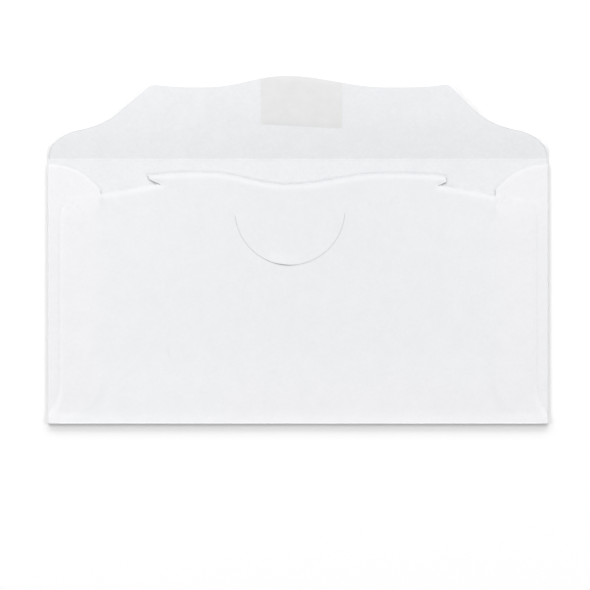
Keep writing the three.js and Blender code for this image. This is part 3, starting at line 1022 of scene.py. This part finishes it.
def paint_sheet(piece):
    """Paints the paper's tone with its painted light and shade, its mottle, its warmth and the painted
    shade at its edges.
    """
    places = np.empty(len(piece.data.vertices) * 3)
    piece.data.vertices.foreach_get("co", places)
    x, y, _ = places.reshape(-1, 3).T / MM
    depth, height = CREASE - y, y - FOOT
    is_inside = np.arange(len(x)) >= len(x) // 2
    over_flap = over_side_flaps(x, y)
    on_flap = smooth(depth, ZONE_BLUR, -ZONE_BLUR)

    # Painted light: the paper is lighter to the left and darker to the right.
    tone = SHEET_TONE - PAINTED_LIGHT_FALL * x / END
    layers = LAYER_TONE + LAYER_TOP_TONE * smooth(depth, *LAYER_TOP_DEPTHS)
    tone += layers * smooth(over_flap, -LAYER_BLUR, LAYER_BLUR)
    # Painted shade on the middle of the flap, where it tilts away from the light.
    tone += on_flap * (FLAP_TONE - FLAP_PAINTED_SHADE * bell(x - FLAP_PAINTED_SHADE_PLACE, FLAP_PAINTED_SHADE_SPREAD))
    # Painted shade inside the mouth.
    tone -= MOUTH_PAINTED_SHADE * smooth(depth, *MOUTH_PAINTED_SHADE_DEPTHS) * (1 - on_flap) * is_inside
    # Painted highlight along the crease.
    along_crease = CREASE_HIGHLIGHT + CREASE_HIGHLIGHT_WAVE * crease_waves(x, y)
    tone += along_crease * bell(depth, CREASE_HIGHLIGHT_WIDTH)
    # Painted highlight at the foot.
    tone += FOOT_HIGHLIGHT * smooth(height, *FOOT_HIGHLIGHT_HEIGHTS)
    # Painted shade along the kinks, standing in for the shading of their ridges.
    tone -= KINK_SHADE * kinks(x, y) * ~is_inside
    paint(piece, "tone", tone)
    paint(piece, "mottle", np.where(is_inside, INSIDE_MOTTLE, OUTSIDE_MOTTLE))

    low_right = smooth(height, *WARM_HEIGHTS) * smooth(x, *WARM_PLACES)
    warm = np.maximum(smooth(over_flap, -ZONE_BLUR, ZONE_BLUR), low_right) * (1 - on_flap)
    paint(piece, "warmth", WARMTH_LEAST + WARMTH_GAIN * warm)

    # Painted shade on the rolls of the folds and by the throat's edge, and painted shadow round the
    # flap's shoulders.
    at_roll = smooth(np.minimum(END - np.abs(x), height), *ROLL_RUNS) * (1 - on_flap)
    from_edge = np.abs(inside_distance(x, y, out_and_back(flap_outline())))
    at_shoulder = smooth(from_edge, SHOULDER_LINE, 0) * smooth(-depth, *SHOULDER_LINE_HEIGHTS) * on_flap
    by_shelf = smooth(-inside_distance(x, y, BACK_RING), *SHELF_LINE) * smooth(np.abs(x), *SHELF_PLACES)
    by_shelf *= is_inside & (over_flap < 0) & (depth < SHELF_FOOT_DEPTH)
    shade = ROLL_SHADE * at_roll + SHOULDER_SHADE * at_shoulder + SHELF_SHADE * by_shelf
    paint(piece, "edge_shade", shade)


# Setting

# Long windows at the top of the view and at its sides: place and size in metres, and power
WINDOWS = {
    "low_window": ((-0.2, 2.5, 0.42), (5.0, 0.4), 150),
    "high_window": ((-0.2, 2.5, 1.15), (5.0, 1.1), 48),
    "left_window": ((-2.5, 0.2, 0.75), (3.0, 0.6), 52),
    "right_window": ((2.5, 0.2, 0.75), (3.0, 0.6), 52),
}
SKY_STRENGTH = 0.2

# Camera, straight above
CAMERA_PLACE = (-1.01, -1.12, 662.2)
CAMERA_LENS = 120
CAMERA_SENSOR = 36

# Floor, six metres wide and just under the paper
FLOOR_SIZE = 6
FLOOR_DROP = 0.02
FLOOR_COLOUR = (0.8, 0.8, 0.8, 1)
WHITE = (1.0, 1.0, 1.0, 1)
BLACK = (0.0, 0.0, 0.0, 1)
FLOOR_GLOW = (0.04, 0.04, 0.04, 1)


def make_floor():
    bpy.ops.mesh.primitive_plane_add(size=FLOOR_SIZE, location=(0, 0, -FLOOR_DROP * MM))
    floor = bpy.context.object
    floor.name = "studio_floor"
    finish = Finish("studio_floor", Roughness=1.0, Specular_IOR_Level=0.0, Emission_Strength=1.0)
    seen = finish.node("ShaderNodeLightPath", {}, {}, "Is Camera Ray")
    finish.shade(
        Base_Color=finish.mix(seen, FLOOR_COLOUR, WHITE),
        Emission_Color=finish.mix(seen, BLACK, FLOOR_GLOW),
    )
    floor.data.materials.append(finish.material)


def make_light(name, place, size, power):
    """A window that faces the envelope."""
    data = bpy.data.lights.new(name, "AREA")
    data.shape = "RECTANGLE"
    data.size, data.size_y = size
    data.energy = power
    lamp = bpy.data.objects.new(name, data)
    lamp.location = place
    lamp.rotation_euler = (-Vector(place)).to_track_quat("-Z", "Y").to_euler()
    bpy.context.collection.objects.link(lamp)


def make_setting():
    scene = bpy.context.scene
    scene.view_settings.view_transform = "Standard"
    world = bpy.data.worlds.new("studio")
    scene.world = world
    world.use_nodes = True
    background = world.node_tree.nodes["Background"]
    background.inputs["Color"].default_value = WHITE
    background.inputs["Strength"].default_value = SKY_STRENGTH
    for name, window in WINDOWS.items():
        make_light(name, *window)
    camera = bpy.data.cameras.new("camera")
    camera.lens = CAMERA_LENS
    camera.sensor_width = CAMERA_SENSOR
    holder = bpy.data.objects.new("camera", camera)
    holder.location = [part * MM for part in CAMERA_PLACE]
    bpy.context.collection.objects.link(holder)
    scene.camera = holder
    make_floor()


make_setting()
sheet = make_sheet()
paint_sheet(sheet)
finish_piece(sheet, [paper_finish(), cut_edge_finish()], "folded_sheet")
gum = make_gum()
finish_piece(gum, [gum_finish()], "flap_gum_patch")
